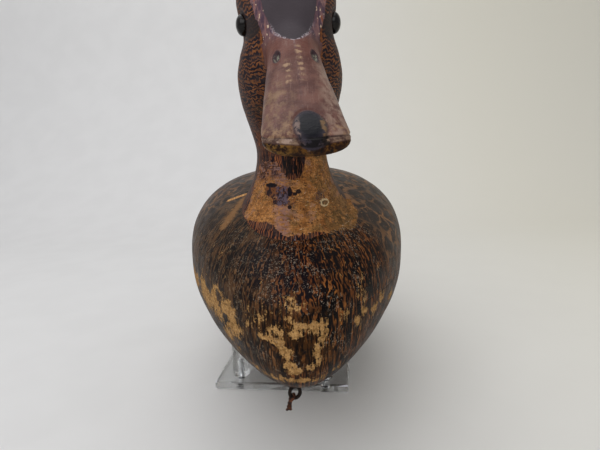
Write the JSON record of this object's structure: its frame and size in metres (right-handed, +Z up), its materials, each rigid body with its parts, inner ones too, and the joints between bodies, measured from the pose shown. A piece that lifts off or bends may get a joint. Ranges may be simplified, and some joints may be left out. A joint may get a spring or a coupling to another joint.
{
  "type": "carved duck decoy on stand",
  "caption": "Hollow carved wooden duck decoy with glass eyes and a line tie under the breast, resting on a clear plate-and-post display stand.",
  "frame": {"origin": "on the table, at the underside of the stand plate, straight below the decoy's centre plane and midway between the front and rear posts", "axes": "+Z up, -Y the way the bill points (the decoy's length runs along Y), +X the decoy's left"},
  "size_m": [0.1576, 0.4376, 0.2668],
  "materials": {
    "painted_wood_body": "aged paint over wood, worn satin",
    "painted_wood_head": "aged paint over wood, satin",
    "bare_wood": "bare",
    "eye_glass": "polished, dark",
    "iron": "dark oxidised",
    "rusty_wire": "rusted",
    "lead": "dull grey lead",
    "steel": "bright",
    "clear_acrylic": "polished clear",
    "clear_silicone": "clear matte"
  },
  "bodies": {
    "stand": {"stand_pad_bl": "clear_silicone", "stand_pad_br": "clear_silicone", "stand_pad_fl": "clear_silicone", "stand_pad_fr": "clear_silicone", "stand_plate": "clear_acrylic", "stand_post_bl": "clear_acrylic", "stand_post_br": "clear_acrylic", "stand_post_fl": "clear_acrylic", "stand_post_fr": "clear_acrylic", "stand_screw_bl": "steel", "stand_screw_br": "steel", "stand_screw_fl": "steel", "stand_screw_fr": "steel"},
    "decoy": {"ballast_nail_front": "iron", "ballast_nail_rear": "iron", "ballast_weight": "lead", "body_nail_breast": "iron", "body_nail_front_l": "iron", "body_nail_front_r": "iron", "body_nail_mid_l": "iron", "body_nail_mid_r": "iron", "body_nail_rear_l": "iron", "body_nail_rear_r": "iron", "body_nail_tail": "iron", "eye_l": "eye_glass", "eye_r": "eye_glass", "eye_wire_l": "iron", "eye_wire_r": "iron", "head": "painted_wood_head", "line_tie_eye": "iron", "lower_body": "painted_wood_body", "neck_dowel": "bare_wood", "neck_nail_l": "iron", "neck_nail_r": "iron", "upper_body": "painted_wood_body"},
    "tie_loop": {"line_tie_loop": "rusty_wire"}
  },
  "joints": [
    {"name": "decoy_lift", "type": "slide", "parent": "stand", "child": "decoy", "axis": [0, 0, 1], "range_m": [0, 0.08]},
    {"name": "tie_loop_swing", "type": "hinge", "parent": "decoy", "child": "tie_loop", "pos_m": [-0.00518, -0.1402, 0.04009], "axis": [0.7731, 0.1191, -0.623], "range_deg": [-60, 60]}
  ]
}
